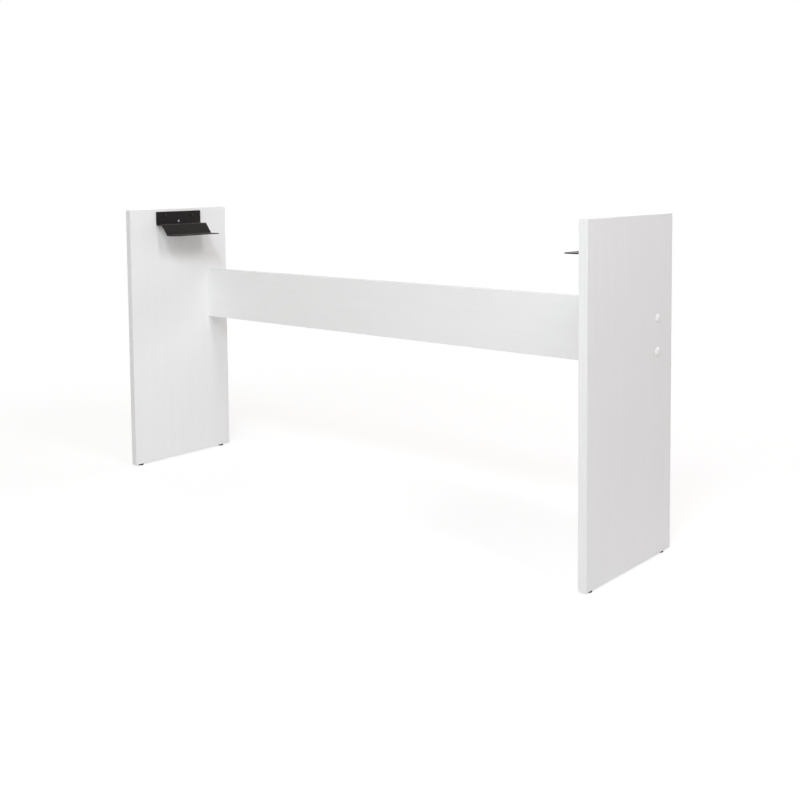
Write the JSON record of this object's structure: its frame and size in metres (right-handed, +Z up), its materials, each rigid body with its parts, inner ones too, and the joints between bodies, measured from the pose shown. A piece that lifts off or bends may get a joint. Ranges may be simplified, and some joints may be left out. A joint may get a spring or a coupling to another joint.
{
  "type": "piano stand",
  "caption": "Panel-sided stand for a slab digital piano: white side boards joined by a rear rail, with black bent-steel brackets that carry the keyboard and small screw-in feet.",
  "frame": {"origin": "on the floor, midway between the side panels and at the middle of their depth", "axes": "+X to the right as the player faces the stand, +Y to the back where the rail is, +Z up"},
  "size_m": [1.3724, 0.33, 0.6845],
  "materials": {
    "white_laminate": "matt white melamine laminate on chipboard",
    "white_edging": "white plastic edge band, satin",
    "black_steel": "black powder coat, fine texture",
    "black_screw": "black oxide, satin",
    "zinc_steel": "bright zinc plate",
    "beech": "bare beech",
    "white_cap": "moulded white plastic, satin gloss",
    "black_foot": "moulded black plastic, matt"
  },
  "bodies": {
    "frame": {"left_side_panel": "white_laminate", "left_front_edge_band": "white_edging", "left_rear_edge_band": "white_edging", "left_top_edge_band": "white_edging", "left_bottom_edge_band": "white_edging", "left_bracket": "black_steel", "left_bracket_screws": "black_screw", "left_rail_bolts": "zinc_steel", "left_barrel_nuts": "zinc_steel", "left_rail_dowels": "beech", "left_cover_caps": "white_cap", "front_left_foot_insert": "zinc_steel", "rear_left_foot_insert": "zinc_steel", "right_side_panel": "white_laminate", "right_front_edge_band": "white_edging", "right_rear_edge_band": "white_edging", "right_top_edge_band": "white_edging", "right_bottom_edge_band": "white_edging", "right_bracket": "black_steel", "right_bracket_screws": "black_screw", "right_rail_bolts": "zinc_steel", "right_barrel_nuts": "zinc_steel", "right_rail_dowels": "beech", "right_cover_caps": "white_cap", "front_right_foot_insert": "zinc_steel", "rear_right_foot_insert": "zinc_steel", "rear_rail": "white_laminate", "rail_top_edge_band": "white_edging", "rail_bottom_edge_band": "white_edging"},
    "front_left_foot": {"front_left_foot_pad": "black_foot", "front_left_foot_stud": "zinc_steel"},
    "rear_left_foot": {"rear_left_foot_pad": "black_foot", "rear_left_foot_stud": "zinc_steel"},
    "front_right_foot": {"front_right_foot_pad": "black_foot", "front_right_foot_stud": "zinc_steel"},
    "rear_right_foot": {"rear_right_foot_pad": "black_foot", "rear_right_foot_stud": "zinc_steel"}
  },
  "joints": [
    {"name": "front_left_foot_travel", "type": "slide", "parent": "frame", "child": "front_left_foot", "axis": [0, 0, -1], "range_m": [0, 0.008]},
    {"name": "rear_left_foot_travel", "type": "slide", "parent": "frame", "child": "rear_left_foot", "axis": [0, 0, -1], "range_m": [0, 0.008]},
    {"name": "front_right_foot_travel", "type": "slide", "parent": "frame", "child": "front_right_foot", "axis": [0, 0, -1], "range_m": [0, 0.008]},
    {"name": "rear_right_foot_travel", "type": "slide", "parent": "frame", "child": "rear_right_foot", "axis": [0, 0, -1], "range_m": [0, 0.008]}
  ]
}
